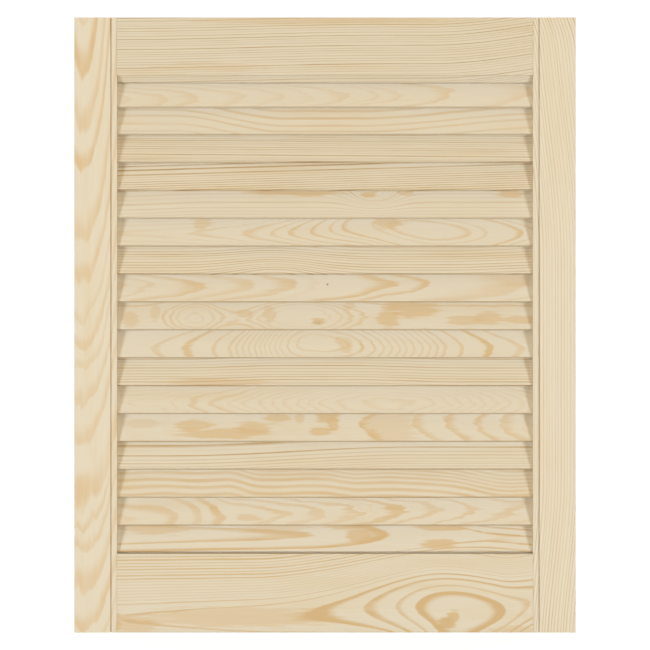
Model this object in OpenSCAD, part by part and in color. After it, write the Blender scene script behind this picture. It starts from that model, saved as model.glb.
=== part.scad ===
// Louvred cabinet door: two stiles and two rails, dowelled together round a run of fixed slats.
// Millimetres. The origin is the middle of the bottom edge, +Z is up and the front faces -Y.

/* [Door] */
// Width across both stiles
door_w = 494; // [300:1:900]
// Height of the stiles
door_h = 606; // [360:1:1800]
// Thickness of the stiles and rails
door_t = 21; // [19:0.5:32]
// Radius that eases the outer edges of the frame
arris_r = 1; // [0.4:0.1:3]

/* [Stiles] */
// Width of each stile, with its bead
stile_w = 42; // [36:0.5:90]
// Width of the bead along the stile's inner front edge
bead_w = 5.4; // [3:0.1:9]
// Rise of the bead's crown above its two sides
bead_crown = 0.5; // [0.2:0.1:1]
// Width of the quirk, the narrow groove between the bead and the stile's face
quirk_w = 1; // [0.8:0.1:2]
// Depth of the quirk
quirk_depth = 1.6; // [1:0.1:2.4]

/* [Rails] */
// Height of the top rail, with its lip
top_rail_h = 64; // [52:0.5:140]
// Height of the bottom rail
bottom_rail_h = 77.5; // [52:0.5:200]
// Height of the lip, the moulded lower edge of the top rail
lip_h = 7.1; // [4:0.1:12]
// Depth of the step from the top rail's face back to the lip
lip_step = 3; // [1:0.1:4]
// Further depth that the lip falls back over its height
lip_fall = 4.2; // [1:0.1:4.6]
// Radius that rounds the lip's lower edge
lip_round = 1.2; // [0.4:0.1:2]

/* [Slats] */
// Spacing aimed at: the slats are spread evenly at the nearest spacing that fills the opening
slat_pitch_aim = 27.5; // [22:0.1:36]
// How much nearer the first and last slats stand to their neighbours than the even spacing
end_draw = 0.8; // [0:0.1:2]
// Thickness of a slat
slat_t = 5.5; // [4:0.1:7]
// Lean of a slat from upright, its top edge towards the back
slat_lean = 17; // [12:0.5:20]
// Height by which each slat hides the top of the one below
slat_lap = 3.8; // [1:0.1:6]
// Radius of a slat's four long edges
slat_edge_r = 0.6; // [0.4:0.1:1.9]
// Length of each slat end that is housed in its stile
slat_housed = 8; // [4:0.5:14]
// Height of the top slat that is hidden behind the top rail's lip
lip_cover = 6.4; // [4:0.1:12]
// Open height between the lowest slat and the bottom rail
sill_gap = 0.4; // [0.3:0.1:3]

/* [Dowels] */
// Diameter of a dowel
dowel_d = 8; // [6:0.5:10]
// Length of a dowel, half in the stile and half in the rail
dowel_len = 40; // [24:1:56]
// Distance of each dowel's axis from the nearer edge of its rail
dowel_inset = 18; // [14:0.5:22]
// Bevel on a dowel's ends
dowel_bevel = 1; // [0.5:0.1:2]
// Diameter of the glue flutes down a dowel's side
flute_d = 0.9; // [0.5:0.1:1.4]
// Number of flutes round a dowel
flute_count = 12; // [6:1:16]

/* [Clearances] */
// Glue line between a rail's end and its stile
joint_gap = 0.1; // [0.05:0.05:0.3]
// Gap all round a slat in its housing
slat_clear = 0.15; // [0.1:0.05:0.4]
// Gap between a slat's end and the bottom of its housing
slat_end_clear = 0.5; // [0.2:0.1:1]
// Gap between the top slat and the rebate that clears it behind the lip
rebate_clear = 0.4; // [0.2:0.1:1]
// Gap round a dowel in its bore, on the radius
dowel_clear = 0.1; // [0.05:0.05:0.2]
// Gap between a dowel's end and the bottom of its bore
dowel_end_clear = 1; // [0.5:0.1:2]

/* [Hidden] */
// Pale raw pine of the frame, the slats a shade lighter, and beech for the dowels
frame_pine = [0.90, 0.82, 0.69];
slat_pine = [0.88, 0.80, 0.66];
beech = [0.80, 0.62, 0.44];
// How far a cutting shape runs past the face that it opens
over = 1;

rail_w = door_w - 2 * stile_w;
opening_h = door_h - top_rail_h - bottom_rail_h;

// Each slat stands slat_lap above the foot of the next, and the top one tucks in behind the lip
slat_run = opening_h + lip_cover - slat_lap - sill_gap;
slat_count = max(1, round(slat_run / slat_pitch_aim));
slat_pitch = (slat_run + 2 * end_draw) / slat_count;
slat_rise = slat_pitch + slat_lap;
slat_w = (slat_rise - slat_t * sin(slat_lean)) / cos(slat_lean);
slat_len = rail_w + 2 * (slat_housed - slat_end_clear);

// Height of the middle of a slat: number 1 is the top one
function slat_z(number) =
    bottom_rail_h + sill_gap + slat_rise / 2 + (slat_count - number) * slat_pitch
    - end_draw * ((number < slat_count ? 1 : 0) + (number == 1 ? 1 : 0));

// Depth, from the middle of the door's thickness, of a slat's front face at a height above its middle
function slat_face_y(above) = above * tan(slat_lean) - slat_t / 2 / cos(slat_lean);

// Heights of the dowels from the bottom up: two in the bottom rail and two in the top rail
dowel_heights = [dowel_inset, bottom_rail_h - dowel_inset,
                 door_h - top_rail_h + dowel_inset, door_h - dowel_inset];

// Two digits, so that the slats' names sort in order
function two_digits(number) = str(number < 10 ? "0" : "", number);
function slat_name(number) = str("slat_", two_digits(number));
function dowel_name(side, number) = str(side, "_dowel_", number);

// Rectangle from the origin with its two lower corners eased
module eased_edge(w, h, r) {
    translate([0, r]) square([w, h - r]);
    translate([r, 0]) square([w - 2 * r, h]);
    for (x = [r, w - r]) translate([x, r]) circle(r = r, $fn = 48);
}

// Rectangle centred on the origin with all four corners eased
module eased_bar(w, h, r) {
    square([w, h - 2 * r], center = true);
    square([w - 2 * r, h], center = true);
    for (x = [-1, 1], y = [-1, 1])
        translate([x * (w / 2 - r), y * (h / 2 - r)]) circle(r = r, $fn = 48);
}

// Carries a section drawn as depth and height along the door's width, centred
module along_width(length) {
    rotate([90, 0, 90]) linear_extrude(height = length, center = true) children();
}

// Section of a slat leaning in the door's thickness, grown all round by a clearance
module slat_section(grow = 0) {
    rotate(-slat_lean)
        eased_bar(slat_t + 2 * grow, slat_w + 2 * grow, slat_edge_r + grow);
}

// Section of a stile across the door, from its outer edge at 0, with the front at the bottom
module stile_section() {
    crown_r = (bead_w * bead_w / 4 + bead_crown * bead_crown) / (2 * bead_crown);
    quirk_x = stile_w - bead_w - quirk_w;
    difference() {
        mirror([1, -1]) eased_edge(door_t, stile_w, arris_r);
        // Quirk with a round bottom
        translate([quirk_x, -over]) square([quirk_w, over + quirk_depth - quirk_w / 2]);
        translate([quirk_x + quirk_w / 2, quirk_depth - quirk_w / 2])
            circle(d = quirk_w, $fn = 32);
        // Both shoulders of the bead, which leave its crown
        difference() {
            translate([stile_w - bead_w, -over]) square([bead_w + over, over + bead_crown]);
            translate([stile_w - bead_w / 2, crown_r]) circle(r = crown_r, $fn = 96);
        }
    }
}

// The left stile: moulded, housed for every slat and bored for the dowels
module stile() {
    difference() {
        translate([-door_w / 2, -door_t / 2, 0]) linear_extrude(height = door_h) stile_section();
        for (number = [1:slat_count])
            translate([-rail_w / 2, 0, slat_z(number)])
                along_width(2 * slat_housed) slat_section(slat_clear);
        dowel_bores();
    }
}

module left_stile() {
    color(frame_pine) stile();
}

module right_stile() {
    color(frame_pine) mirror([1, 0, 0]) stile();
}

// Bores for the dowels of the left joints, across the line where rail and stile meet
module dowel_bores() {
    for (height = dowel_heights)
        translate([-rail_w / 2, 0, height]) rotate([0, 90, 0])
            cylinder(d = dowel_d + 2 * dowel_clear, h = dowel_len + 2 * dowel_end_clear,
                     center = true, $fn = 64);
}

// Section of the top rail: the front at the left, eased along its top edge
module top_rail_section() {
    // The rebate follows the top slat's face up to its top edge and is open to the back
    slat_middle = slat_z(1) - (door_h - top_rail_h);
    rebate_h = lip_cover + rebate_clear;
    rebate_foot = door_t / 2 + slat_face_y(-slat_middle) - rebate_clear;
    rebate_head = door_t / 2 + slat_face_y(rebate_h - slat_middle) - rebate_clear;
    rebate_slope = (rebate_head - rebate_foot) / rebate_h;
    // The round on the lip's lower edge touches the slope and the underside this far from the edge
    lip_edge = lip_step + lip_fall;
    lip_slope = atan2(lip_h, lip_fall);
    round_reach = lip_round * tan(lip_slope / 2);
    difference() {
        translate([0, top_rail_h]) mirror([0, 1]) eased_edge(door_t, top_rail_h, arris_r);
        // Step and slope of the lip
        polygon([[-over, -over], [lip_edge, -over], [lip_edge, 0],
                 [lip_step, lip_h], [-over, lip_h]]);
        difference() {
            polygon([[lip_edge, 0], [lip_edge + round_reach, 0], [lip_edge + round_reach, lip_round],
                     [lip_edge - round_reach * cos(lip_slope), round_reach * sin(lip_slope)]]);
            translate([lip_edge + round_reach, lip_round]) circle(r = lip_round, $fn = 48);
        }
        polygon([[rebate_foot - over * rebate_slope, -over], [rebate_head, rebate_h],
                 [door_t + over, rebate_h], [door_t + over, -over]]);
    }
}

module top_rail() {
    color(frame_pine) difference() {
        translate([0, -door_t / 2, door_h - top_rail_h])
            along_width(rail_w - 2 * joint_gap) top_rail_section();
        dowel_bores();
        mirror([1, 0, 0]) dowel_bores();
    }
}

module bottom_rail() {
    color(frame_pine) difference() {
        translate([0, -door_t / 2, 0])
            along_width(rail_w - 2 * joint_gap) eased_edge(door_t, bottom_rail_h, arris_r);
        dowel_bores();
        mirror([1, 0, 0]) dowel_bores();
    }
}

// One slat, its two ends in the stiles' housings
module slat(number) {
    color(slat_pine) translate([0, 0, slat_z(number)]) along_width(slat_len) slat_section();
}

// One fluted dowel with bevelled ends, half of it on each side of the joint
module dowel(side_x, height) {
    color(beech) translate([side_x * rail_w / 2, 0, height]) rotate([0, 90, 0]) intersection() {
        linear_extrude(height = dowel_len, center = true) difference() {
            circle(d = dowel_d, $fn = 64);
            for (turn = [0:flute_count - 1])
                rotate(turn * 360 / flute_count) translate([dowel_d / 2, 0])
                    circle(d = flute_d, $fn = 16);
        }
        rotate_extrude($fn = 64)
            polygon([[0, -dowel_len / 2], [dowel_d / 2 - dowel_bevel, -dowel_len / 2],
                     [dowel_d / 2, dowel_bevel - dowel_len / 2],
                     [dowel_d / 2, dowel_len / 2 - dowel_bevel],
                     [dowel_d / 2 - dowel_bevel, dowel_len / 2], [0, dowel_len / 2]]);
    }
}

left_stile();
right_stile();
top_rail();
bottom_rail();
for (number = [1:slat_count])
    slat(number);
for (number = [1:len(dowel_heights)])
    dowel(-1, dowel_heights[number - 1]);
for (number = [1:len(dowel_heights)])
    dowel(1, dowel_heights[number - 1]);
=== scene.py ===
"""Looks of a louvred cabinet door in raw pine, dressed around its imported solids."""

import logging
import math
from dataclasses import dataclass, field, replace
from enum import Enum
from typing import Any, Optional, Union

import bpy
import numpy as np
from mathutils import Matrix, Vector


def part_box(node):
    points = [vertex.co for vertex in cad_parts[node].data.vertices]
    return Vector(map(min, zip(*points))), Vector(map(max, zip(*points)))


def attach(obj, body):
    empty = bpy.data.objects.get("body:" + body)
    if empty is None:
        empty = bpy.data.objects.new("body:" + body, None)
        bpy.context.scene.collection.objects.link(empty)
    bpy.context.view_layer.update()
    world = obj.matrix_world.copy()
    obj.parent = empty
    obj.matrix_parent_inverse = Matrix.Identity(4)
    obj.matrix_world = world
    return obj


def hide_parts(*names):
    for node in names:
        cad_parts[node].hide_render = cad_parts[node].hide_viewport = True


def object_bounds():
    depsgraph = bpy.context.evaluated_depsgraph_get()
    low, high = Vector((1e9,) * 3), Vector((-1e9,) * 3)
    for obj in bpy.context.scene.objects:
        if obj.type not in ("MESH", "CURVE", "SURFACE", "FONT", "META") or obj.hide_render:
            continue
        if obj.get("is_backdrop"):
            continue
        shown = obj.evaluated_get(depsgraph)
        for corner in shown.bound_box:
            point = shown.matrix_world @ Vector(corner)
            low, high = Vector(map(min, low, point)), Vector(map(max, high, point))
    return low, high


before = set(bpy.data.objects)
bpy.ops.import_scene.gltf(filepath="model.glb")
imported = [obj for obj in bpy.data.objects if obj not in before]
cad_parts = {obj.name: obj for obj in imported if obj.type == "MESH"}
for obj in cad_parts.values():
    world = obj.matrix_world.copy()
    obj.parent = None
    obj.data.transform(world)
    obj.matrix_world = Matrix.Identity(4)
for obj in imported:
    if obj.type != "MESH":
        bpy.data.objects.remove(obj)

LOG = logging.getLogger("louvred_door")
MM = 0.001
BODY = "root"
SEED_STRIDES = (7.31, 3.17, 5.73)
WHITE = (1.0, 1.0, 1.0)
COOL = (0.85, 1.0, 1.2)
WARM = (1.08, 0.95, 0.7)

Triple = tuple[float, float, float]
Colour = Triple
Point = tuple[float, float]
Term = Union["Value", float]


class Side(Enum):
    """The two sides of the door, as seen from the front."""

    LEFT = "left"
    RIGHT = "right"


class Lie(Enum):
    """How a board's grain runs in the door."""

    UPRIGHT = "upright"
    LEVEL = "level"


def shade(red: float, green: float, blue: float) -> Colour:
    """Turns a display colour into the linear light that a shader works in.

    The curve is a straight line near black and a power above it, as displays have it.

    Args:
        red: Red from 0 to 255.
        green: Green from 0 to 255.
        blue: Blue from 0 to 255.

    Returns:
        The three channels as linear light from 0 to 1.
    """
    display = np.array([red, green, blue]) / 255.0
    linear = np.where(display <= 0.04045, display / 12.92, ((display + 0.055) / 1.055) ** 2.4)
    return tuple(float(channel) for channel in linear)


class Value:
    """A socket of a material's graph that takes part in ordinary arithmetic."""

    def __init__(self, graph: "Graph", socket: bpy.types.NodeSocket) -> None:
        """Keeps the graph and the socket that the value comes from."""
        self.graph = graph
        self.socket = socket

    def math(self, operation: str, *terms: Term) -> "Value":
        """Adds a Math node that works on this value first."""
        return self.graph.math(operation, self, *terms)

    def __add__(self, other: Term) -> "Value":
        """Adds a term."""
        return self.math("ADD", other)

    def __radd__(self, other: Term) -> "Value":
        """Adds this value to a number."""
        return self.math("ADD", other)

    def __sub__(self, other: Term) -> "Value":
        """Takes a term away."""
        return self.math("SUBTRACT", other)

    def __rsub__(self, other: Term) -> "Value":
        """Takes this value away from a number."""
        return self.graph.math("SUBTRACT", other, self)

    def __mul__(self, other: Term) -> "Value":
        """Multiplies by a term."""
        return self.math("MULTIPLY", other)

    def __rmul__(self, other: Term) -> "Value":
        """Multiplies a number by this value."""
        return self.math("MULTIPLY", other)

    def __truediv__(self, other: Term) -> "Value":
        """Divides by a term."""
        return self.math("DIVIDE", other)

    def __rtruediv__(self, other: Term) -> "Value":
        """Divides a number by this value."""
        return self.graph.math("DIVIDE", other, self)

    def __neg__(self) -> "Value":
        """Turns the sign round."""
        return self.math("MULTIPLY", -1.0)

    def step_up(self, low: float, high: float) -> "Value":
        """Rises smoothly from 0 at the low value to 1 at the high one."""
        node = self.graph.node(
            "ShaderNodeMapRange", {"interpolation_type": "SMOOTHSTEP"},
            {"Value": self, "From Min": low, "From Max": high})
        return Value(self.graph, node.outputs["Result"])

    def look_up(self, points: list[Point]) -> "Value":
        """Reads a line through the given points, which runs straight on past its ends."""
        node = self.graph.node("ShaderNodeFloatCurve", {"points": points}, {"Value": self})
        return Value(self.graph, node.outputs[0])


@dataclass(frozen=True)
class Noise:
    """One of the smooth noises in a board.

    Attributes:
        lengths: Its wavelengths along the grain, across it and into the board, in
            millimetres.
        number: Added to the board's seed, so that no two of its noises agree.
        detail: How many finer octaves ride on the first.
    """

    lengths: Triple
    number: float
    detail: float = 2.0


class Graph:
    """The node graph of a material or of the world, with one short way to add any node."""

    def __init__(self, owner: Union[bpy.types.Material, bpy.types.World]) -> None:
        """Starts the owner's graph afresh."""
        owner.use_nodes = True
        self.tree = owner.node_tree
        self.tree.nodes.clear()

    def node(self, kind: str, settings: Optional[dict[str, Any]] = None,
             sockets: Optional[dict[Any, Any]] = None) -> bpy.types.Node:
        """Adds a node, sets it up, and then fills or links its sockets.

        Args:
            kind: The node's type.
            settings: The node's own properties, such as a Math node's operation, or the
                points of a curve.
            sockets: A value, or a Value to link, for each socket by name or number.

        Returns:
            The new node.
        """
        made = self.tree.nodes.new(kind)
        for name, setting in (settings or {}).items():
            if name == "points":
                bend_curve(made.mapping, setting)
            else:
                setattr(made, name, setting)
        for name, term in (sockets or {}).items():
            if isinstance(term, Value):
                self.tree.links.new(term.socket, made.inputs[name])
            else:
                made.inputs[name].default_value = term
        return made

    def math(self, operation: str, *terms: Term) -> Value:
        """Adds a Math node on two or three terms."""
        node = self.node("ShaderNodeMath", {"operation": operation}, dict(enumerate(terms)))
        return Value(self, node.outputs[0])

    def vector_math(self, operation: str, sockets: dict[Any, Any], output: int = 0) -> Value:
        """Adds a Vector Math node."""
        node = self.node("ShaderNodeVectorMath", {"operation": operation}, sockets)
        return Value(self, node.outputs[output])

    def split(self, vector: Value) -> tuple[Value, Value, Value]:
        """Takes a vector apart into its three numbers."""
        node = self.node("ShaderNodeSeparateXYZ", sockets={0: vector})
        return tuple(Value(self, output) for output in node.outputs)

    def finish(self, kind: str, shader: bpy.types.Node) -> None:
        """Ends the graph with an output node of the given type, fed by a shader."""
        self.node(kind, sockets={"Surface": Value(self, shader.outputs[0])})

    def noise(self, place: Value, noise: Noise, seed: float) -> Value:
        """Smooth noise about 0, about 1 at most either way.

        Args:
            place: Where on the board, in millimetres.
            noise: Which of the board's noises it is.
            seed: The board's seed, which moves the noise, so that no two boards share it.

        Returns:
            The noise's value.
        """
        number = seed + noise.number
        moved = self.vector_math("MULTIPLY_ADD", {
            0: place, 1: tuple(1.0 / length for length in noise.lengths),
            2: tuple(number * stride for stride in SEED_STRIDES)})
        node = self.node("ShaderNodeTexNoise", {"noise_dimensions": "3D"}, {
            "Vector": moved, "Scale": 1.0, "Detail": noise.detail, "Roughness": 0.5})
        return (Value(self, node.outputs[0]) - 0.5) * 2.0

    def rumble(self, number: Value, seed: float) -> Value:
        """Smooth noise about 0 along a single number, with a wavelength of 1."""
        node = self.node("ShaderNodeTexNoise", {"noise_dimensions": "1D"}, {
            "W": number + seed * SEED_STRIDES[0], "Scale": 1.0, "Detail": 0.0})
        return (Value(self, node.outputs[0]) - 0.5) * 2.0

    def chance(self, number: Value, seed: float) -> Value:
        """A random number from 0 to 1 that stays the same for each whole number."""
        node = self.node("ShaderNodeTexWhiteNoise", {"noise_dimensions": "1D"},
                         {"W": number + seed})
        return Value(self, node.outputs["Value"])

    def blend(self, factor: Term, first: Any, second: Any) -> Value:
        """Mixes two colours by a factor."""
        node = self.node("ShaderNodeMix", {"data_type": "RGBA"},
                         {0: factor, 6: opaque(first), 7: opaque(second)})
        return Value(self, node.outputs[2])

    def scaled(self, colour: Value, factor: Term) -> Value:
        """Makes a colour lighter or darker by a factor."""
        return self.vector_math("SCALE", {0: colour, "Scale": factor})


def opaque(colour: Any) -> Any:
    """Gives a plain colour its fourth channel, and leaves a linked one alone."""
    return colour if isinstance(colour, Value) else (*colour, 1.0)


def bend_curve(mapping: bpy.types.CurveMapping, points: list[Point]) -> None:
    """Makes a curve node's curve a row of straight lines that run on past its ends.

    Args:
        mapping: The curve node's mapping.
        points: The points that the lines go through, from left to right.
    """
    mapping.use_clip = False
    mapping.extend = "EXTRAPOLATED"
    curve = mapping.curves[0]
    while len(curve.points) < len(points):
        curve.points.new(*points[-1])
    for made, place in zip(curve.points, points):
        made.location = place
        made.handle_type = "VECTOR"
    mapping.update()


def cosine(term: Term) -> Term:
    """The cosine of a plain number or of a material's value."""
    return term.math("COSINE") if isinstance(term, Value) else math.cos(term)


def exponential(term: Term) -> Term:
    """The exponential of a plain number or of a material's value."""
    return term.math("EXPONENT") if isinstance(term, Value) else math.exp(term)


def square_root(term: Term) -> Term:
    """The square root of a plain number or of a material's value."""
    return term.math("SQRT") if isinstance(term, Value) else math.sqrt(term)


def smooth_step(term: Term, low: float, high: float) -> Term:
    """Rises smoothly from 0 to 1: three times the share's square less twice its cube.

    Args:
        term: A plain number, or a material's value.
        low: Where the rise begins.
        high: Where it ends.

    Returns:
        The step's height there, of the same kind as the term.
    """
    if isinstance(term, Value):
        return term.step_up(low, high)
    share = min(max((term - low) / (high - low), 0.0), 1.0)
    return share * share * (3.0 - 2.0 * share)


@dataclass(frozen=True)
class Wave:
    """A swell along a board: a cosine with its crest at one place, in millimetres."""

    length: float
    crest: float
    height: float

    def at(self, along: Term, across: Term) -> Term:
        """The wave's height at a point."""
        return cosine((along - self.crest) * (2.0 * math.pi / self.length)) * self.height


@dataclass(frozen=True)
class Slope:
    """A smooth rise along a board from one place to another, in millimetres."""

    start: float
    end: float
    height: float

    def at(self, along: Term, across: Term) -> Term:
        """The slope's height at a point."""
        return smooth_step(along, self.start, self.end) * self.height


@dataclass(frozen=True)
class Spot:
    """A soft oval place on a board's face, in millimetres, and how strong it is there."""

    along: float
    across: float
    half_length: float
    half_height: float
    strength: float

    def at(self, along: Term, across: Term) -> Term:
        """The spot's strength at a point: a bell in both directions round its middle.

        Args:
            along: The point's place along the board.
            across: Its place across the face.

        Returns:
            The strength, which falls away with the square of the distance.
        """
        aside = (along - self.along) / self.half_length
        above = (across - self.across) / self.half_height
        return exponential(-(aside * aside + above * above)) * self.strength


@dataclass(frozen=True)
class Tip:
    """A placed band of late wood, where it crosses the line above the pith.

    Attributes:
        begin: Where it begins along the board.
        end: Where it ends along the board.
        strength: How dark it is, from 0 to 1.
    """

    begin: float
    end: float
    strength: float

    def points(self, grain: "Grain") -> tuple[Point, Point]:
        """The two points on the face, along and across, between which the band lies."""
        return (self.begin, grain.pith(self.begin)), (self.end, grain.pith(self.end))


@dataclass(frozen=True)
class Line:
    """A placed band of late wood that runs along the board, where it crosses one place.

    Attributes:
        begin: Where it begins across the board.
        end: Where it ends across the board.
        strength: How dark it is, from 0 to 1.
        along: The place along the board.
    """

    begin: float
    end: float
    strength: float
    along: float

    def points(self, grain: "Grain") -> tuple[Point, Point]:
        """The two points on the face, along and across, between which the band lies."""
        return (self.along, self.begin), (self.along, self.end)


def tips(*bands: Triple) -> tuple[Tip, ...]:
    """Places several bands, each by its begin and end above the pith and its strength."""
    return tuple(Tip(*band) for band in bands)


def lines(along: float, *bands: Triple) -> tuple[Line, ...]:
    """Places several bands at one place along, each by its begin, end and strength."""
    return tuple(Line(*band, along) for band in bands)


Bend = Union[Wave, Slope, Spot]


@dataclass(frozen=True)
class Grain:
    """How a board was cut from its log: where the pith lies and how the rings run.

    Lengths are in millimetres. The board's own directions are along the grain and across
    the face, from the middle of the board, and out of the face, from the face.

    Attributes:
        seed: Chooses the board's noise.
        depth: How far the pith lies behind the face.
        offset: Where the pith lies across the face.
        dip: How fast the pith sinks away along the board.
        drift: How fast the pith wanders across the face along the board.
        spacing: Width of a growth ring that isn't placed one by one.
        swells: Bends of the pith's depth along the board.
        sways: Bends of the pith's place across the face along the board.
        eyes: Places where the rings bulge out or in, as they do near a knot.
        bands: Rings placed one by one, by their late wood.
        plain: How dark the rings outside the placed ones are, from 0 to 1.
        knots: Small dark knots.
        patches: Places where a ring's late wood lies flat in the face, as a warm patch.
        bolds_and_painted_light: Places where the late wood is darker, or paler with a negative
            strength.
            The pale one along the top rail's lip is partly painted light: it lifts that
            down-facing, shaded face, and it also calms the rings there.
        wander: How far noise moves the rings.
        wander_length: The length of that noise along the grain.
        feather: How far the rings' edges are feathered.
        uneven: How much the rings' widths differ, in rings.
        uneven_rate: How often their widths change, per ring.
        palest: How dark the palest ring is, where no rings are placed.
        late_from: Where the late wood starts in a ring, from 0 to 1.
        ramp: Over what part of a ring the late wood sets in, from 0 to 1.
        fade_from: Where it fades out again, at the ring's end.
        mottle: How much the late wood's darkness varies along a ring.
        contrast: How dark the late wood is, from 0 to 1.
        on_edge: How much the rings stand on edge in the face, which darkens the late wood.
        warmth: How strong the broad warm clouds are.
        tone: How light the whole board is.
    """

    seed: float
    depth: float = 40.0
    offset: float = 0.0
    dip: float = 0.0
    drift: float = 0.0
    spacing: float = 3.0
    swells: tuple[Bend, ...] = ()
    sways: tuple[Bend, ...] = ()
    eyes: tuple[Spot, ...] = ()
    bands: tuple[Union[Tip, Line], ...] = ()
    plain: float = 0.4
    knots: tuple[Spot, ...] = ()
    patches: tuple[Spot, ...] = ()
    bolds_and_painted_light: tuple[Spot, ...] = ()
    wander: float = 0.8
    wander_length: float = 90.0
    feather: float = 0.25
    uneven: float = 0.5
    uneven_rate: float = 0.45
    palest: float = 0.4
    late_from: float = 0.5
    ramp: float = 0.34
    fade_from: float = 0.9
    mottle: float = 0.5
    contrast: float = 0.5
    on_edge: float = 0.0
    warmth: float = 0.2
    tone: float = 1.0

    def stray(self) -> Noise:
        """The noise that moves the rings, four times as long along the grain as across."""
        return Noise((self.wander_length, self.wander_length / 4, self.wander_length / 4), 0.0)

    def pith(self, along: Term) -> Term:
        """Finds where the pith lies across the face: a straight line with the sways added.

        Args:
            along: A place along the board.

        Returns:
            The pith's place across the face there.
        """
        across = along * self.drift + self.offset
        for sway in self.sways:
            across = sway.at(along, 0.0) + across
        return across

    def radius(self, along: Term, across: Term, out: Term = 0.0) -> Term:
        """How far a point is from the pith, with the bulges of the rings added.

        Args:
            along: The point's place along the board.
            across: Its place across the face.
            out: How far it stands out of the face.

        Returns:
            The distance from the tilted, bent pith line, which places a point in its ring.
        """
        rise = along * self.dip + self.depth + out
        for swell in self.swells:
            rise = swell.at(along, across) + rise
        side = across - self.pith(along)
        radius = square_root(rise * rise + side * side)
        for eye in self.eyes:
            radius = eye.at(along, across) + radius
        return radius

    def course(self) -> tuple[list[Point], list[Point]]:
        """Works out the rings from the placed bands.

        A band runs from the late wood's start in its ring to the ring's end, and a ring of
        the usual spacing lies before the first band and after the last.

        Returns:
            The points of a line that turns a radius into a count of rings, and of one that
            turns a ring's number into how dark its late wood is.
        """
        spans = []
        for band in self.bands:
            near, far = sorted(self.radius(*point) for point in band.points(self))
            spans.append((near, far, band.strength))
        spans.sort()
        first = spans[0][0] - self.spacing * self.late_from
        counts = [(first - self.spacing, -1.0), (first, 0.0)]
        darks = [(-2.0, self.plain), (-1.0, self.plain)]
        for number, (near, far, strength) in enumerate(spans):
            counts += [(near, number + self.late_from), (far, number + 1.0)]
            darks.append((float(number), strength))
        counts.append((counts[-1][0] + self.spacing, len(spans) + 1.0))
        darks += [(float(len(spans)), self.plain), (len(spans) + 1.0, self.plain)]
        return counts, darks


@dataclass(frozen=True)
class Wood:
    """Colours, fine marks and sheen of a raw planed wood.

    Attributes:
        species: What the wood is called.
        early: Colour of a ring's early wood.
        late: Colour of its late wood, where that lies flat in the face.
        late_on_edge: Colour of the late wood where it stands on edge.
        blush: Colour of the broad warm clouds.
        knot: Colour of a knot's heart.
        end_light: How light end grain is, next to the face.
        end_edge: How squarely the surface faces along the grain where end grain starts,
            and where it is full.
        gain: How light the whole wood is, next to the colours above.
        cloud: Noise of the warm clouds.
        cloud_edge: The values of that noise where a cloud starts, and where it is full.
        cloud_share: How much blush shows between the clouds, and how much more in them.
        ragged: Noise that frays the patches' edges.
        raggedness: How much it does.
        patch_edge: The frayed patch's values where it starts, and where it is full.
        feather: Noise that feathers the rings' edges.
        mottle: Noise that varies the late wood along a ring.
        fibre: Noise of the fibres.
        fibre_light: How much the fibres vary the lightness.
        fibre_roughness: How much they vary the roughness.
        fibre_relief: How far they stand up, next to the late wood.
        streak: Noise of the faint long streaks.
        streak_light: How much the streaks vary the lightness.
        early_roughness: Roughness of the early wood.
        late_roughness: Roughness of the late wood.
        shine: How strongly the surface reflects.
        relief: How far the late wood stands up, in metres.
    """

    species: str = "pine"
    early: Colour = shade(231, 219, 197)
    late: Colour = shade(221, 188, 138)
    late_on_edge: Colour = shade(194, 160, 108)
    blush: Colour = shade(226, 201, 155)
    knot: Colour = shade(120, 78, 50)
    end_light: float = 0.84
    end_edge: Point = (0.6, 0.9)
    gain: float = 0.83
    cloud: Noise = Noise((160.0, 18.0, 18.0), 2.0, detail=1.0)
    cloud_edge: Point = (-0.1, 0.6)
    cloud_share: Point = (0.2, 0.9)
    ragged: Noise = Noise((26.0, 2.6, 2.6), 5.0)
    raggedness: float = 0.55
    patch_edge: Point = (0.25, 0.65)
    feather: Noise = Noise((26.0, 1.3, 1.3), 1.0)
    mottle: Noise = Noise((60.0, 6.0, 6.0), 6.0, detail=1.0)
    fibre: Noise = Noise((70.0, 0.5, 0.5), 3.0)
    fibre_light: float = 0.035
    fibre_roughness: float = 0.04
    fibre_relief: float = 0.5
    streak: Noise = Noise((45.0, 2.2, 2.2), 4.0)
    streak_light: float = 0.03
    early_roughness: float = 0.66
    late_roughness: float = 0.52
    shine: float = 0.35
    relief: float = 0.03 * MM

    def late_colour(self, on_edge: float) -> Colour:
        """The late wood's colour between lying flat in the face and standing on edge."""
        return tuple(flat + (edge - flat) * on_edge
                     for flat, edge in zip(self.late, self.late_on_edge))


PINE = Wood()
BEECH = Wood(species="beech", early=shade(205, 164, 122), late=shade(176, 130, 88),
             blush=shade(196, 150, 106), early_roughness=0.6)


@dataclass(frozen=True)
class Board:
    """A piece of timber in the door: the node it stands for and how its grain lies.

    Attributes:
        node: The node's name.
        lie: How the grain runs.
        lean: How far the face leans back from upright, in radians.
        thickness: The board's thickness, in metres, where its node's box doesn't give it.
    """

    node: str
    lie: Lie
    lean: float = 0.0
    thickness: Optional[float] = None

    def centre(self) -> Vector:
        """The middle of the board, in metres."""
        low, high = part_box(self.node)
        return (low + high) / 2

    def face(self) -> float:
        """How far the face stands out from the board's middle, in millimetres."""
        low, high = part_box(self.node)
        return (self.thickness or high.y - low.y) / 2 / MM

    def directions(self) -> tuple[Vector, Vector, Vector]:
        """Finds the board's own directions.

        Returns:
            Unit vectors along the grain, across the face and out of the face.
        """
        out = Vector((0.0, -math.cos(self.lean), math.sin(self.lean)))
        along = Vector((0.0, 0.0, 1.0)) if self.lie is Lie.UPRIGHT else Vector((1.0, 0.0, 0.0))
        return along, out.cross(along), out


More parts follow.
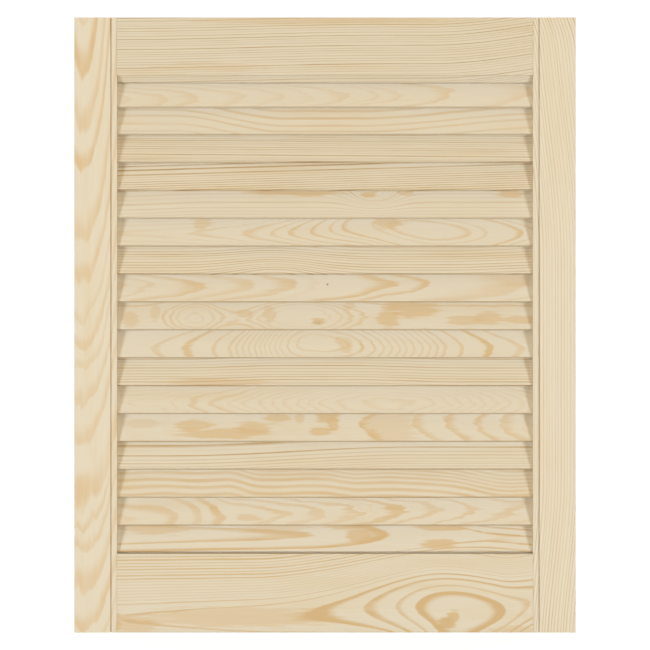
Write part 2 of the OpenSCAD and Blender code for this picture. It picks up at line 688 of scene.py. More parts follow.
@dataclass(frozen=True)
class SolidWood:
    """Solid wood whose growth rings run through a board as they grew round the pith.

    Attributes:
        board: The board, which gives the wood its place.
        grain: How the board was cut from its log.
        wood: The wood's colours, marks and sheen.
    """

    board: Board
    grain: Grain
    wood: Wood

    def make(self) -> bpy.types.Material:
        """Builds the material.

        Returns:
            A material with its own graph, named after the wood and the board's node.
        """
        wood = self.wood
        material = bpy.data.materials.new(f"{wood.species}_{self.board.node}")
        graph = Graph(material)
        place, end_grain = self.place(graph)
        late = self.rings(graph, place)
        fibre = graph.noise(place, wood.fibre, self.grain.seed)
        colour = self.colour(graph, place, late, fibre, end_grain)
        roughness = wood.early_roughness - late * (wood.early_roughness - wood.late_roughness)
        height = late + fibre * wood.fibre_relief
        bump = graph.node("ShaderNodeBump", sockets={
            "Strength": 1.0, "Distance": wood.relief, "Height": height})
        surface = graph.node("ShaderNodeBsdfPrincipled", sockets={
            "Base Color": colour, "Roughness": roughness + fibre * wood.fibre_roughness,
            "Specular IOR Level": wood.shine, "Normal": Value(graph, bump.outputs[0])})
        graph.finish("ShaderNodeOutputMaterial", surface)
        return material

    def place(self, graph: Graph) -> tuple[Value, Value]:
        """Finds where a point lies on the board.

        Args:
            graph: The material's graph.

        Returns:
            The point in millimetres from the board's middle, along, across and out of the
            face, and a mask that is 1 on end grain.
        """
        along, across, out = self.board.directions()
        turn = Matrix((along, across, out)).transposed().to_euler()
        source = graph.node("ShaderNodeTexCoord")
        mapped = graph.node("ShaderNodeMapping", {"vector_type": "TEXTURE"}, {
            "Vector": Value(graph, source.outputs["Object"]),
            "Location": self.board.centre(), "Rotation": turn, "Scale": (MM, MM, MM)})
        facing = graph.vector_math("DOT_PRODUCT", {
            0: Value(graph, source.outputs["Normal"]), 1: along}, output=1)
        end_grain = facing.math("ABSOLUTE").step_up(*self.wood.end_edge)
        return Value(graph, mapped.outputs[0]), end_grain

    def rings(self, graph: Graph, place: Value) -> Value:
        """Counts growth rings out from the pith and finds the dark late wood in each.

        The radius is the distance from a pith line that runs along the board, tilted,
        swelled and swayed. Divided by the ring spacing, or read off the line through the
        placed bands, it counts rings. The late wood is the last part of each, with a soft
        inner edge and a sharp outer one.

        Args:
            graph: The material's graph.
            place: The point on the board, in millimetres.

        Returns:
            The late wood as 0 to 1.
        """
        grain, wood = self.grain, self.wood
        along, across, out = graph.split(place)
        stray = graph.noise(place, grain.stray(), grain.seed) * grain.wander
        feather = graph.noise(place, wood.feather, grain.seed) * grain.feather
        radius = grain.radius(along, across, out - self.board.face() + stray) + feather
        if grain.bands:
            counts, darks = grain.course()
            count = radius.look_up(counts)
            number = count.math("FLOOR")
            strength = number.look_up(darks)
        else:
            count = radius / grain.spacing
            count = count + graph.rumble(count * grain.uneven_rate, grain.seed) * grain.uneven
            number = count.math("FLOOR")
            strength = graph.chance(number, grain.seed) * (1.0 - grain.palest) + grain.palest
        phase = count - number
        band = phase.step_up(grain.late_from, grain.late_from + grain.ramp)
        mottle = graph.noise(place, wood.mottle, grain.seed) * grain.mottle + 1.0
        return band * (1.0 - phase.step_up(grain.fade_from, 1.0)) * strength * mottle

    def colour(self, graph: Graph, place: Value, late: Value, fibre: Value,
               end_grain: Value) -> Value:
        """Mixes the wood's colour from its rings, fibres and warm patches.

        Args:
            graph: The material's graph.
            place: The point on the board, in millimetres.
            late: The late wood as 0 to 1.
            fibre: The noise of the fibres.
            end_grain: The mask of end grain.

        Returns:
            The base colour.
        """
        grain, wood = self.grain, self.wood
        along, across, _ = graph.split(place)
        cloud = graph.noise(place, wood.cloud, grain.seed).step_up(*wood.cloud_edge)
        between, within = wood.cloud_share
        colour = graph.blend((cloud * within + between) * grain.warmth, wood.early, wood.blush)
        ragged = graph.noise(place, wood.ragged, grain.seed) * wood.raggedness
        for patch in grain.patches:
            spread = patch.at(along, across) / patch.strength + ragged
            spread = spread.step_up(*wood.patch_edge)
            colour = graph.blend(spread * patch.strength, colour, wood.late)
        contrast = grain.contrast
        # A spot that pales the late wood on a shaded face, as on the top rail's lip, is painted
        # light.
        for contrast_spot in grain.bolds_and_painted_light:
            contrast = contrast_spot.at(along, across) + contrast
        colour = graph.blend(late * contrast, colour, wood.late_colour(grain.on_edge))
        for knot in grain.knots:
            colour = graph.blend(knot.at(along, across), colour, wood.knot)
        streak = graph.noise(place, wood.streak, grain.seed)
        light = 1.0 + fibre * wood.fibre_light + streak * wood.streak_light
        light = light * (1.0 - end_grain * (1.0 - wood.end_light))
        return graph.scaled(colour, light * grain.tone * wood.gain)


def cover(piece: bpy.types.Object, material: bpy.types.Material) -> None:
    """Puts one material on all of a piece."""
    piece.data.materials.clear()
    piece.data.materials.append(material)


def dress_node(node: str, lie: Lie, grain: Grain, wood: Wood) -> None:
    """Dresses one of the frame's own nodes as a board of solid wood."""
    cover(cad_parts[node], SolidWood(Board(node, lie), grain, wood).make())


def surface_mesh(name: str, points: np.ndarray, close_start: bool = True) -> bpy.types.Object:
    """Makes a tube-like surface from rings of points and puts it in the scene.

    Point (i, j) joins (i + 1, j) along the path and (i, j + 1) round the profile, which
    closes on itself. One flat face closes an end.

    Args:
        name: The object's name.
        points: Array of rings by points by 3, in metres, each ring turning so that faces
            point outwards.
        close_start: Whether the first ring is closed, as the last one always is.

    Returns:
        The new object.
    """
    rings, around = points.shape[:2]
    index = np.arange(rings * around).reshape(rings, around)
    here, there = index[:-1], index[1:]
    sides = np.stack([here, np.roll(here, -1, 1), np.roll(there, -1, 1), there], -1).reshape(-1, 4)
    caps = [index[0][::-1].tolist()] if close_start else []
    caps.append(index[-1].tolist())
    mesh = bpy.data.meshes.new(name)
    mesh.from_pydata(points.reshape(-1, 3).tolist(), [], sides.tolist() + caps)
    mesh.polygons.foreach_set("use_smooth", np.arange(len(sides) + len(caps)) < len(sides))
    mesh.update()
    piece = bpy.data.objects.new(name, mesh)
    bpy.context.scene.collection.objects.link(piece)
    return piece


@dataclass
class SlatShape:
    """One slat as a rounded section carried along its length.

    It has the small faults of machined softwood: it bows a little, and its edges are
    eased unevenly.

    Attributes:
        thickness: The slat's thickness, in metres, as are the other lengths.
        edge_radius: Radius of the four long edges.
        lean: How far the slat leans back from upright, in radians.
        bow: How far the middle may bow out of line.
        easing: How much the edge radius may swing, as a share of itself.
        swing_turns: The least and the greatest change of the swing's phase from the middle
            to an end, in radians.
        swing_phases: The least and the greatest phase in the middle, in radians.
        end_bevel: How far each end is bevelled.
        stations: How many sections the slat has along its length.
        station_power: Draws the sections towards the middle where it is over 1, and towards
            the ends where it is under 1.
        corner_points: How many points round a long edge has.
        guard: How far from a long edge's ends the guard points lie, on the flat faces.
    """

    thickness: float = 5.5 * MM
    edge_radius: float = 0.6 * MM
    lean: float = math.radians(17.0)
    bow: float = 0.15 * MM
    easing: float = 0.18
    swing_turns: Point = (2.0, 5.0)
    swing_phases: Point = (0.0, 6.3)
    end_bevel: float = 0.4 * MM
    stations: int = 97
    station_power: float = 0.8
    corner_points: int = 8
    guard: float = 0.25 * MM

    def width(self, height: float) -> float:
        """Works out the slat's width from the upright height that it takes up.

        The height is made up of the rounded edges and of the flat width and flat thickness
        between them, both of which lean.

        Args:
            height: The leaning slat's height.

        Returns:
            The width.
        """
        core = height - 2 * self.edge_radius
        core -= (self.thickness - 2 * self.edge_radius) * math.sin(self.lean)
        return core / math.cos(self.lean) + 2 * self.edge_radius

    def section(self, width: float, radius: np.ndarray) -> np.ndarray:
        """The rounded rectangle of the section at every station.

        Each corner is a quarter circle about a centre set in by the radius, with a guard
        point just past each of its ends, so that the flat faces shade flat.

        Args:
            width: The slat's width.
            radius: The edge radius at every station.

        Returns:
            Array of stations by points by 2: out of the face and across it.
        """
        angle = np.linspace(0.0, math.pi / 2, self.corner_points)
        rows = []
        for corner, (out_sign, up_sign) in enumerate(((1, 1), (-1, 1), (-1, -1), (1, -1))):
            turned = angle + corner * math.pi / 2
            centre_out = out_sign * (self.thickness / 2 - radius)
            centre_up = up_sign * (width / 2 - radius)
            out = centre_out[:, None] + radius[:, None] * np.cos(turned)
            up = centre_up[:, None] + radius[:, None] * np.sin(turned)
            round_part = np.stack([out, up], -1)
            back = np.array([math.sin(turned[0]), -math.cos(turned[0])]) * self.guard
            onward = np.array([-math.sin(turned[-1]), math.cos(turned[-1])]) * self.guard
            rows += [round_part[:, :1] + back, round_part, round_part[:, -1:] + onward]
        return np.concatenate(rows, 1)

    def build(self, name: str, low: Vector, high: Vector, seed: int) -> bpy.types.Object:
        """Carries the section along the slat.

        The section shrinks by the end bevel at both ends. The middle bows out of line by a
        parabola, and the edge radius swings by a slow sine of its own.

        Args:
            name: The object's name.
            low: The lowest corner of the node that the slat stands for.
            high: Its highest corner.
            seed: Chooses the slat's faults.

        Returns:
            The slat.
        """
        rng = np.random.default_rng(seed)
        half = (high.x - low.x) / 2
        run = np.linspace(-1.0, 1.0, self.stations)
        along = half * np.sign(run) * np.abs(run) ** self.station_power
        along = np.concatenate([[-half], along[1:-1] * (1 - self.end_bevel / half), [half]])
        share = along / half
        swing = np.sin(share * rng.uniform(*self.swing_turns) + rng.uniform(*self.swing_phases))
        radius = self.edge_radius * (1.0 + self.easing * swing * (1.0 - share**2))
        section = self.section(self.width(high.z - low.z), radius)
        ends = np.ones((len(along), 1, 1))
        ends[[0, -1]] = 1.0 - self.end_bevel / self.thickness
        section = section * ends
        arch = (1.0 - share**2) * self.bow
        out = section[:, :, 0] + (arch * rng.uniform(-1.0, 1.0))[:, None]
        up = section[:, :, 1] + (arch * rng.uniform(-1.0, 1.0))[:, None]
        tilt, upright = math.sin(self.lean), math.cos(self.lean)
        middle = (low + high) / 2
        points = np.stack([np.broadcast_to(along[:, None] + middle.x, out.shape),
                           middle.y - out * upright + up * tilt,
                           middle.z + out * tilt + up * upright], -1)
        return surface_mesh(name, points)


@dataclass
class Stiles:
    """The two beaded uprights of the frame.

    Attributes:
        grains: How each side's stile was cut.
    """

    grains: dict[Side, Grain] = field(default_factory=lambda: {
        Side.LEFT: Grain(
            seed=11.0, depth=48.0, offset=12.5, dip=-0.11, spacing=3.0,
            bands=tips((308, 297, 0.4), (282, 241, 0.95), (220, 188, 0.6), (175, 147, 0.85),
                       (113, 80, 0.6), (62, 37, 0.65), (20, 3, 0.4), (-8, -27, 0.6),
                       (-33, -49, 0.4), (-61, -83, 0.5), (-94, -119, 0.55), (-140, -183, 0.75),
                       (-187, -204, 0.55), (-209, -226, 0.5), (-236, -267, 0.6),
                       (-280, -303, 0.7)),
            eyes=(Spot(-160.0, 10.0, 25.0, 12.0, 1.8),),
            bolds_and_painted_light=(Spot(-126.0, -15.0, 18.0, 9.0, -0.55), Spot(-145.0, -6.0, 12.0, 8.0, -0.3)),
            wander=1.6, wander_length=50.0, contrast=0.85, warmth=0.35, tone=1.035),
        Side.RIGHT: Grain(
            seed=12.0, depth=12.0, offset=-46.0, spacing=2.9,
            sways=(Spot(320.0, 0.0, 25.0, 900.0, 10.0), Slope(60.0, 340.0, 24.0),
                   Slope(-330.0, -150.0, -14.0)),
            bolds_and_painted_light=(Spot(310.0, 0.0, 20.0, 60.0, 0.5), Spot(-310.0, 0.0, 90.0, 60.0, 0.15)),
            contrast=0.55, on_edge=1.0, uneven=0.3, warmth=0.2, tone=1.05),
    })

    def dress(self) -> list[str]:
        """Gives each stile its own pine.

        Returns:
            The names of the pieces.
        """
        names = []
        for side, grain in self.grains.items():
            name = f"{side.value}_stile"
            dress_node(name, Lie.UPRIGHT, grain, PINE)
            names.append(name)
        return names


@dataclass
class Rails:
    """The top rail with its lip, and the plain bottom rail.

    Attributes:
        grains: How each rail was cut, by its node's name.
    """

    grains: dict[str, Grain] = field(default_factory=lambda: {
        "top_rail": Grain(
            seed=21.0, depth=14.0, offset=-70.0, drift=0.01, spacing=2.5,
            sways=(Wave(420.0, 30.0, 1.0), Slope(105.0, 300.0, 20.0)), wander=1.4,
            late_from=0.55, contrast=0.95, on_edge=1.1, uneven=0.3, warmth=0.5, tone=0.985,
            # Partly painted light: paler late wood lifts the lip's down-facing, shaded face, and
            # also calms its rings.
            bolds_and_painted_light=(Spot(0.0, -29.0, 900.0, 5.0, -0.2),),
            patches=(Spot(-20.0, 29.0, 130.0, 4.0, 0.35), Spot(-110.0, -17.0, 60.0, 5.0, 0.3))),
        "bottom_rail": Grain(
            seed=22.0, depth=50.0, offset=-25.0, dip=-0.012, spacing=4.5,
            sways=(Slope(-70.0, 75.0, 12.0), Slope(88.0, 165.0, -5.0),
                   Slope(172.0, 226.0, 11.0)),
            eyes=(Spot(130.0, -17.0, 72.0, 200.0, -10.0), Spot(121.0, -52.0, 37.0, 17.0, -6.8),
                  Spot(222.0, -42.0, 36.0, 20.0, 3.0), Spot(25.0, -38.0, 45.0, 9.0, -1.0)),
            bands=tips((-178, -207, 0.7), (14, -32, 1.0), (54, 36, 0.75), (78, 69, 0.5),
                       (106, 88, 1.0))
            + lines(-200.0, (-12.5, -10.8, 0.7), (-8.0, -6.7, 0.45), (-5.0, -3.7, 0.45),
                    (-2.0, -0.7, 0.45), (1.0, 2.3, 0.45), (4.0, 5.3, 0.45), (7.0, 8.3, 0.45),
                    (10.0, 11.3, 0.45), (12.3, 14.4, 0.9), (15.6, 18.0, 0.9), (19.0, 20.5, 0.7),
                    (21.8, 24.0, 0.9), (25.0, 26.7, 0.7), (28.0, 29.7, 0.7), (30.8, 33.4, 1.0),
                    (34.3, 36.2, 0.8)),
            patches=(Spot(120.0, -29.0, 9.0, 6.5, 0.95), Spot(126.5, -23.5, 7.0, 6.0, 0.9),
                     Spot(-90.0, -24.0, 95.0, 11.0, 0.5), Spot(-12.0, -22.0, 24.0, 7.0, 0.42),
                     Spot(-207.0, -28.0, 8.0, 9.0, 0.7), Spot(-185.0, -32.0, 22.0, 7.0, 0.5),
                     Spot(185.0, -36.0, 20.0, 6.0, 0.45)),
            bolds_and_painted_light=(Spot(-20.0, -21.0, 30.0, 12.0, 0.25), Spot(120.0, -15.0, 60.0, 30.0, 0.3)),
            knots=(Spot(121.0, -28.0, 7.0, 5.0, 0.08),), wander=0.25, wander_length=50.0,
            feather=0.08, contrast=1.05, on_edge=0.2, warmth=0.35),
    })

    def dress(self) -> list[str]:
        """Gives each rail its own pine.

        Returns:
            The names of the pieces.
        """
        for name, grain in self.grains.items():
            dress_node(name, Lie.LEVEL, grain, PINE)
        return list(self.grains)


@dataclass
class LouvreRun:
    """The run of fixed slats, numbered from the top.

    Attributes:
        shape: The shape that the slats share.
        slot: A name for their material slot, which is not used.
        grains: How each slat was cut, from the top one down.
    """

    shape: SlatShape = field(default_factory=SlatShape)
    slot: str = "slat_pine"
    grains: tuple[Grain, ...] = (
        Grain(seed=31.0, depth=35.0, offset=-5.0, dip=0.045, drift=0.02, spacing=2.2,
              bands=tips((-206, -186, 0.4), (-176, -152, 0.65), (-142, -118, 0.7),
                         (-103, -75, 0.55), (-61, -42, 0.45), (-28, -10, 0.35), (2, 21, 0.65),
                         (41, 53, 0.5), (57, 73, 0.55), (84, 91, 0.2), (101, 129, 0.95),
                         (172, 215, 0.6)),
              bolds_and_painted_light=(Spot(0.0, -5.0, 500.0, 7.0, 0.2),), ramp=0.45, wander=0.8,
              wander_length=40.0, feather=0.25, contrast=0.48, warmth=0.2, tone=1.01),
        Grain(seed=32.0, depth=10.0, offset=59.0, spacing=7.0,
              sways=(Slope(-150.0, -40.0, -17.0), Slope(35.0, 215.0, 13.0)),
              bands=lines(-185.0, (-11.3, -14.0, 0.4), (-3.5, -6.5, 0.5), (5.0, 2.0, 0.7),
                          (11.2, 8.2, 0.65), (19.5, 15.5, 0.85), (27.2, 23.6, 0.8),
                          (35.5, 32.0, 0.6)),
              ramp=0.22, wander=3.0, wander_length=32.0, contrast=0.66, on_edge=0.2,
              warmth=0.35),
        Grain(seed=33.0, depth=8.0, offset=59.0, drift=-0.008, spacing=2.1, wander=2.4,
              wander_length=50.0, contrast=0.95, on_edge=1.1, uneven=0.4, warmth=0.6),
        Grain(seed=34.0, depth=8.0, offset=-61.0, drift=0.03, spacing=2.3,
              bands=lines(-185.0, (-6.6, -5.2, 0.45), (-4.3, -2.8, 0.45), (-2.0, 0.2, 0.8),
                          (3.0, 5.4, 1.0), (7.2, 9.3, 0.9)),
              plain=0.85, wander=2.0, wander_length=50.0, contrast=0.95, on_edge=1.1,
              warmth=0.5, tone=1.015),
        Grain(seed=35.0, depth=10.0, offset=-51.0, spacing=3.0,
              sways=(Slope(-210.0, -110.0, 3.0),), eyes=(Spot(49.0, 8.0, 24.0, 13.0, 21.0),),
              bands=lines(130.0, (-15.2, -14.0, 0.4), (-13.0, -11.7, 0.45), (-10.0, -8.6, 0.45),
                          (-6.2, -4.6, 0.55), (-1.5, 1.2, 0.6), (4.0, 5.8, 0.3),
                          (8.0, 10.0, 0.5), (13.0, 15.0, 0.5), (16.5, 19.5, 0.7)),
              patches=(Spot(-32.0, 12.0, 55.0, 6.0, 0.8), Spot(80.0, 11.0, 9.0, 4.0, 0.6),
                       Spot(43.0, 8.0, 9.0, 3.0, 0.8), Spot(185.0, 9.0, 14.0, 4.0, 0.7)),
              wander=1.2, wander_length=30.0, contrast=0.8, on_edge=0.45, warmth=0.2),
        Grain(seed=36.0, depth=20.0, offset=-3.0, dip=-0.01, spacing=1.6,
              sways=(Spot(45.0, 0.0, 55.0, 900.0, 9.0),),
              eyes=(Spot(100.0, -1.0, 110.0, 200.0, -20.0),),
              bands=tips((-180, -215, 0.4), (-113, -133, 0.6), (-64, -87, 0.6),
                         (-46, -54, 0.55), (-28, -37, 0.75), (-8, -16, 0.8), (8, 3, 0.7),
                         (24, 15, 0.9), (102, 124, 0.0), (131, 146, 0.65), (155, 162, 0.5)),
              patches=(Spot(62.0, 8.0, 15.0, 7.0, 0.62), Spot(-122.0, 7.0, 9.0, 7.0, 0.5)),
              wander=0.5, wander_length=50.0, contrast=0.85, warmth=0.2),
        Grain(seed=37.0, depth=10.0, offset=-56.0,
              sways=(Spot(-48.0, 0.0, 50.0, 900.0, 4.5), Slope(-110.0, 60.0, -2.5),
                     Slope(120.0, 230.0, 3.0)),
              eyes=(Spot(-48.0, -17.0, 44.0, 15.0, -6.0),), wander=1.2, spacing=2.8,
              contrast=1.0, on_edge=0.9, uneven=0.3, warmth=0.5, tone=1.01),
        Grain(seed=38.0, depth=48.0, offset=1.5, dip=0.042, drift=0.013, spacing=2.0,
              bands=tips((-203, -189, 0.4), (-181, -166, 0.4), (-153, -120, 0.8),
                         (-108, -68, 0.55), (-57, -28, 0.65), (-16, 0, 0.2), (37, 68, 0.95),
                         (79, 103, 0.85), (135, 212, 0.6)),
              knots=(Spot(2.4, 1.7, 0.9, 0.9, 0.9),), bolds_and_painted_light=(Spot(0.0, 1.5, 500.0, 7.0, 0.2),),
              wander=1.0, wander_length=60.0, feather=0.25, contrast=0.72, warmth=0.2),
        Grain(seed=39.0, depth=40.0, offset=-4.0, spacing=2.5,
              eyes=(Spot(-129.0, -3.0, 26.0, 25.0, -7.0), Spot(-24.0, -3.0, 48.0, 25.0, -9.0)),
              bands=tips((-24, -14, 0.0), (-123, -119, 0.4), (-113, -108, 0.45),
                         (-106, -98, 0.65), (34, 44, 0.7)) + lines(150.0, (6.5, 10.0, 1.0)),
              patches=(Spot(87.0, 5.5, 30.0, 9.5, 0.75), Spot(63.0, -3.0, 12.0, 11.0, 0.7),
                       Spot(140.0, -7.0, 20.0, 5.0, 0.6), Spot(162.0, -4.0, 17.0, 7.0, 0.65),
                       Spot(194.0, -6.0, 22.0, 5.0, 0.65), Spot(-55.0, -1.0, 7.0, 8.0, 0.5),
                       Spot(-7.0, -8.0, 7.0, 4.0, 0.7), Spot(-80.0, 1.0, 9.0, 4.0, 0.5),
                       Spot(-192.0, -5.0, 9.0, 9.0, 0.5), Spot(-168.0, 2.0, 5.0, 9.0, 0.4),
                       Spot(24.0, 9.0, 7.0, 6.0, 0.5)),
              knots=(Spot(-7.0, -9.0, 4.0, 1.8, 0.2),), wander=0.9, wander_length=22.0,
              contrast=0.75, warmth=0.3, tone=0.99),
        Grain(seed=40.0, depth=36.0, offset=-7.7, spacing=12.0,
              sways=(Spot(-8.0, 0.0, 42.0, 900.0, 6.5),),
              eyes=(Spot(12.7, 0.0, 117.0, 400.0, -37.0), Spot(-35.7, 0.0, 34.0, 400.0, -4.6)),
              bands=tips((-28, -30.5, 0.45), (-36, -39, 0.5), (-43.5, -45.5, 0.4),
                         (-48.5, -50.5, 0.4), (-53.5, -55.5, 0.4), (-58.5, -60.5, 0.4),
                         (-63, -65, 0.4), (-68, -70.5, 0.45), (-74, -76.5, 0.45),
                         (-80, -82.5, 0.45), (-86, -89, 0.5), (-92, -97, 0.5),
                         (-107, -113, 0.5), (-131, -143, 0.75), (-162, -174, 0.5)),
              bolds_and_painted_light=(Spot(42.0, -1.0, 10.0, 14.0, 0.7), Spot(160.0, -4.0, 25.0, 20.0, 0.3)),
              patches=(Spot(21.0, -4.0, 7.0, 8.0, 0.5), Spot(14.0, 2.0, 5.0, 4.0, 0.4)),
              ramp=0.25, wander=0.6, wander_length=25.0, feather=0.15, contrast=0.95,
              warmth=0.2),
        Grain(seed=41.0, depth=8.0, offset=-61.0, spacing=2.9, contrast=1.0,
              sways=(Slope(-150.0, -40.0, 2.5), Slope(20.0, 140.0, -2.5)), wander=0.9,
              on_edge=0.75, uneven=0.3, patches=(Spot(-110.0, -13.0, 60.0, 4.5, 0.5),),
              warmth=0.6),
        Grain(seed=42.0, depth=34.0, offset=-6.0, spacing=1.2,
              eyes=(Spot(60.0, -6.0, 150.0, 60.0, -18.0),),
              bands=tips((-179, -187, 0.3), (-155, -163, 0.3), (-124, -139, 0.55),
                         (-98, -111, 0.5)),
              plain=0.3, wander=1.3, wander_length=45.0, contrast=0.9, warmth=0.4),
        Grain(seed=43.0, depth=110.0, offset=2.0, dip=-0.08, spacing=3.2,
              bands=tips((202, 193, 0.25), (188, 170, 0.65), (159, 146, 0.8), (132, 116, 0.85),
                         (102, 86, 0.75), (47, 35, 1.0)),
              patches=(Spot(64.0, -1.0, 26.0, 40.0, 0.35), Spot(-128.0, 0.0, 20.0, 6.0, 0.65),
                       Spot(-100.0, -8.0, 48.0, 6.0, 0.7), Spot(-70.0, -3.0, 18.0, 7.0, 0.65),
                       Spot(-48.0, 8.0, 13.0, 6.0, 0.7), Spot(-25.0, 8.0, 5.0, 7.0, 0.55),
                       Spot(2.0, 9.0, 13.0, 6.0, 0.8), Spot(8.0, 2.0, 6.0, 8.0, 0.75),
                       Spot(-5.0, -6.0, 14.0, 5.0, 0.75), Spot(-178.0, 2.0, 18.0, 5.0, 0.35)),
              plain=0.1, wander=0.8, wander_length=30.0, contrast=0.76, warmth=0.3),
        Grain(seed=44.0, depth=8.0, offset=-61.0, spacing=2.6,
              sways=(Slope(-150.0, 90.0, 9.0),),
              bands=lines(-190.0, (-20.0, -18.6, 0.45), (-17.6, -16.4, 0.45),
                          (-14.8, -13.4, 0.5), (-11.6, -10.0, 0.6), (-7.8, -6.4, 0.5),
                          (-3.9, -1.9, 1.0), (2.0, 3.0, 0.2), (4.8, 9.0, 0.85)),
              bolds_and_painted_light=(Spot(-35.0, 2.0, 20.0, 3.0, 0.3),), plain=0.45, wander=0.8,
              contrast=1.0, on_edge=0.7, warmth=0.4),
        Grain(seed=45.0, depth=16.0, offset=-41.0, spacing=4.0,
              sways=(Wave(75.0, -165.0, 0.6), Slope(-97.0, -65.0, -6.5),
                     Slope(0.0, 35.0, -3.5), Slope(90.0, 190.0, -13.0)),
              bands=lines(-180.0, (-15.6, -11.0, 0.75), (-8.4, -3.4, 0.85), (-1.2, 3.4, 0.85),
                          (6.0, 10.6, 0.85), (11.4, 15.0, 0.75), (15.8, 18.8, 0.7),
                          (19.5, 22.4, 0.7), (23.2, 26.2, 0.7), (27.2, 30.4, 0.7),
                          (31.5, 34.8, 0.7)),
              ramp=0.2, wander=3.0, wander_length=45.0, feather=0.4, contrast=0.7,
              on_edge=0.1, warmth=0.55),
        Grain(seed=46.0, depth=38.0, offset=-4.5, dip=0.04, drift=0.03, spacing=2.0,
              swells=(Slope(-165.0, -90.0, 10.0),),
              bands=tips((-163, -144, 0.7), (-132, -120, 0.6), (-114, -98, 0.9),
                         (-61, -37, 0.6), (-22, 0, 0.6), (15, 36, 0.6), (39, 44, 0.3),
                         (46, 50, 0.3), (54, 80, 0.95), (95, 113, 0.6), (135, 152, 0.65),
                         (176, 198, 0.55)),
              bolds_and_painted_light=(Spot(0.0, -1.0, 500.0, 7.0, 0.2),),
              patches=(Spot(-77.0, -9.0, 13.0, 4.0, 0.5),), ramp=0.25, wander=0.9,
              wander_length=32.0, feather=0.3, contrast=0.67, warmth=0.3),
        Grain(seed=47.0, depth=30.0, offset=1.5, dip=0.009, spacing=2.0,
              swells=(Slope(-20.0, 160.0, 5.7), Slope(160.0, 220.0, -0.5)),
              sways=(Slope(110.0, 250.0, -8.5),),
              bands=tips((-90, -7, 0.8), (34, 66, 1.0))
              + lines(165.0, (0.2, 3.7, 1.0), (7.4, 10.2, 0.9), (10.9, 12.8, 0.8)),
              patches=(Spot(-168.0, 8.0, 36.0, 7.0, 0.6), Spot(33.0, 1.0, 13.0, 10.0, 0.75),
                       Spot(-50.0, 7.0, 32.0, 6.0, 0.4), Spot(118.0, 9.0, 28.0, 4.5, 0.8),
                       Spot(113.0, -8.0, 19.0, 5.5, 0.8), Spot(24.0, 10.5, 26.0, 4.5, 0.7)),
              wander=0.2, feather=0.15, contrast=1.0, on_edge=0.1, warmth=0.1),
    )

    def build(self) -> list[str]:
        """Builds every slat in its node's place and dresses it.

        Returns:
            The names of the pieces.
        """
        names = []
        for number, grain in enumerate(self.grains, start=1):
            node = f"slat_{number:02d}"
            name = f"louvre_{number:02d}"
            low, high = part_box(node)
            piece = self.shape.build(name, low, high, number)
            board = Board(node, Lie.LEVEL, self.shape.lean, self.shape.thickness)
            cover(piece, SolidWood(board, grain, PINE).make())
            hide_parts(node)
            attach(piece, BODY)
            names.append(name)
        return names


@dataclass
class Dowels:
    """The hidden dowels of the four joints, numbered from the bottom up.

    Attributes:
        per_side: How many dowels each stile has.
        first_seed: The first dowel's seed, from which the others count on.
        grain: How the dowels were cut, but for their seeds.
    """

    per_side: int = 4
    first_seed: int = 60
    grain: Grain = Grain(seed=0.0, depth=25.0, spacing=1.4, contrast=0.4)

    def dress(self) -> list[str]:
        """Gives each dowel its own beech.

        Returns:
            The names of the pieces.
        """
        names = [f"{side.value}_dowel_{number}"
                 for side in Side for number in range(1, self.per_side + 1)]
        for seed, name in enumerate(names, start=self.first_seed):
            dress_node(name, Lie.LEVEL, replace(self.grain, seed=float(seed)), BEECH)
        return names


@dataclass(frozen=True)
class Lamp:
    """A soft square studio light that faces the door.

    Attributes:
        name: The lamp's name.
        place: Where its middle hangs, in metres.
        size: Its width and height, in metres.
        watts: Its power.
        colour: Its colour, as factors on white.
    """

    name: str
    place: Triple
    size: float
    watts: float
    colour: Colour = WARM

    def hang(self, target: Vector) -> None:
        """Hangs the lamp and turns it to face a point.

        Args:
            target: The point that it faces.
        """
        light = bpy.data.lights.new(self.name, "AREA")
        light.shape = "SQUARE"
        light.size = self.size
        light.energy = self.watts
        light.color = self.colour
        lamp = bpy.data.objects.new(self.name, light)
        bpy.context.scene.collection.objects.link(lamp)
        lamp.location = self.place
        lamp.rotation_euler = (target - lamp.location).to_track_quat("-Z", "Y").to_euler()


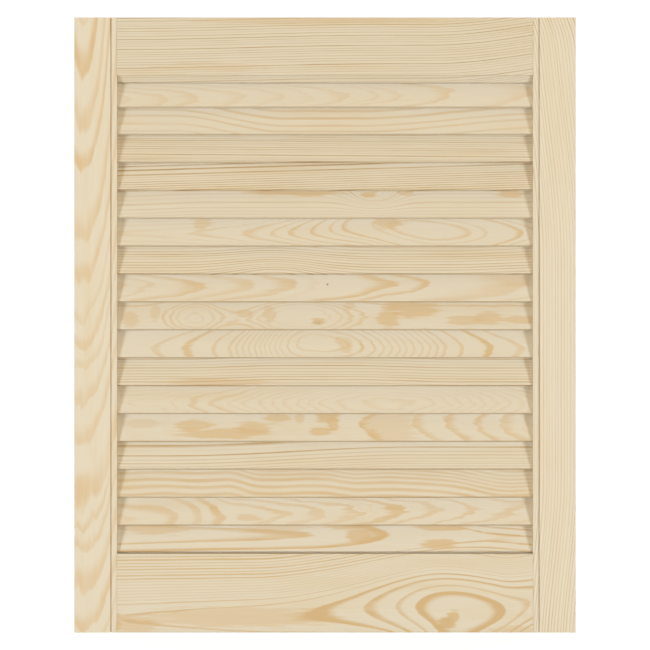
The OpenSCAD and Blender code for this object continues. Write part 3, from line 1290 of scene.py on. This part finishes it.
@dataclass
class Studio:
    """Plain pale floor, soft lights from both sides, and a long lens square to the door.

    Attributes:
        lamps: The lamps.
        ambient: Strength of the light from all round.
        warmth: Colour of that light.
        backdrop: How bright the surroundings look to the camera.
        floor_radius: Radius of the round floor, in metres.
        floor_hole: Its innermost ring's radius, as a share of the whole.
        floor_grid: How many rings the floor has, and how many points a ring has.
        floor_tone: How much light the floor reflects.
        floor_glow: How brightly it glows.
        camera_distance: From the camera to the door's front, in metres.
        field_width: Width of the picture at the door's front, in metres.
        sensor: Width of the camera's sensor, in millimetres.
    """

    lamps: tuple[Lamp, ...] = (
        Lamp("key_left", (-2.25, -2.5, 0.2), 0.9, 56.5, COOL),
        Lamp("key_right", (2.25, -2.5, 0.2), 0.9, 56.5, COOL),
        Lamp("fill_low", (0.0, -2.4, -1.6), 1.6, 5.0),
        Lamp("fill_high", (0.0, -2.6, 2.0), 1.2, 6.0),
        Lamp("rear_left", (-1.8, 2.2, 1.9), 1.0, 46.0, COOL),
        Lamp("rear_right", (1.8, 2.2, 1.9), 1.0, 46.0, COOL),
        Lamp("overhead", (0.0, -0.9, 2.6), 1.2, 6.0),
    )
    ambient: float = 0.32
    warmth: Colour = (1.24, 0.86, 0.25)
    backdrop: float = 1.06
    floor_radius: float = 1.6
    floor_hole: float = 0.02
    floor_grid: tuple[int, int] = (24, 96)
    floor_tone: float = 0.2
    floor_glow: float = 0.92
    camera_distance: float = 2.4
    field_width: float = 0.6403
    sensor: float = 36.0

    def build(self) -> list[str]:
        """Builds the floor, the lights, the surroundings and the camera.

        Returns:
            The names of the floor and the lamps.
        """
        low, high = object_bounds()
        middle = (low + high) / 2
        self.lay_floor(low.z)
        for lamp in self.lamps:
            lamp.hang(middle)
        self.surround()
        self.set_camera(middle, low.y)
        bpy.context.scene.view_settings.view_transform = "Standard"
        return ["floor", *(lamp.name for lamp in self.lamps)]

    def lay_floor(self, level: float) -> None:
        """Lays a round pale floor: rings of points from its edge in to its middle.

        Like a light table's, its top glows, about as bright as the backdrop, and lets the
        low lamp through.

        Args:
            level: Height of the floor, in metres.
        """
        rings, around = self.floor_grid
        radius = np.linspace(1.0, self.floor_hole, rings)[:, None] * self.floor_radius
        angle = np.linspace(0.0, 2 * math.pi, around, endpoint=False)[None, :]
        points = np.stack([radius * np.cos(angle), radius * np.sin(angle),
                           np.full(self.floor_grid, level)], -1)
        floor = surface_mesh("floor", points, close_start=False)
        material = bpy.data.materials.new("pale_floor")
        graph = Graph(material)
        surface = graph.node("ShaderNodeBsdfPrincipled", sockets={
            "Base Color": opaque((self.floor_tone,) * 3), "Roughness": 1.0,
            "Specular IOR Level": 0.0, "Emission Color": opaque(WHITE),
            "Emission Strength": self.floor_glow})
        graph.finish("ShaderNodeOutputMaterial", surface)
        cover(floor, material)
        floor.visible_diffuse = False
        floor.visible_shadow = False
        floor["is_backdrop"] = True

    def surround(self) -> None:
        """Surrounds the door with white that lights it softly and a little warmly."""
        world = bpy.data.worlds.new("white_studio")
        graph = Graph(world)
        path = graph.node("ShaderNodeLightPath")
        seen = Value(graph, path.outputs["Is Camera Ray"])
        strength = seen * (self.backdrop - self.ambient) + self.ambient
        light = graph.node("ShaderNodeBackground", sockets={
            "Color": graph.blend(seen, self.warmth, WHITE), "Strength": strength})
        graph.finish("ShaderNodeOutputWorld", light)
        bpy.context.scene.world = world

    def set_camera(self, middle: Vector, front: float) -> None:
        """Sets a long lens square to the door, with the photograph's framing.

        Args:
            middle: The door's middle.
            front: Where the door's front face lies along Y.
        """
        data = bpy.data.cameras.new("camera")
        data.sensor_width = self.sensor
        data.lens = self.sensor * self.camera_distance / self.field_width
        camera = bpy.data.objects.new("camera", data)
        bpy.context.scene.collection.objects.link(camera)
        camera.location = (middle.x, front - self.camera_distance, middle.z)
        camera.rotation_euler = (math.radians(90.0), 0.0, 0.0)
        bpy.context.scene.camera = camera


def main() -> None:
    """Builds and dresses the door in order, and lights it."""
    logging.basicConfig(level=logging.INFO, format="%(message)s")
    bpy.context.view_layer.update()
    steps = {
        "stiles": Stiles().dress,
        "rails": Rails().dress,
        "louvre run": LouvreRun().build,
        "dowels": Dowels().dress,
        "studio": Studio().build,
    }
    for label, step in steps.items():
        for name in step():
            LOG.info("%s: %s", label, name)


if __name__ == "__main__":
    main()
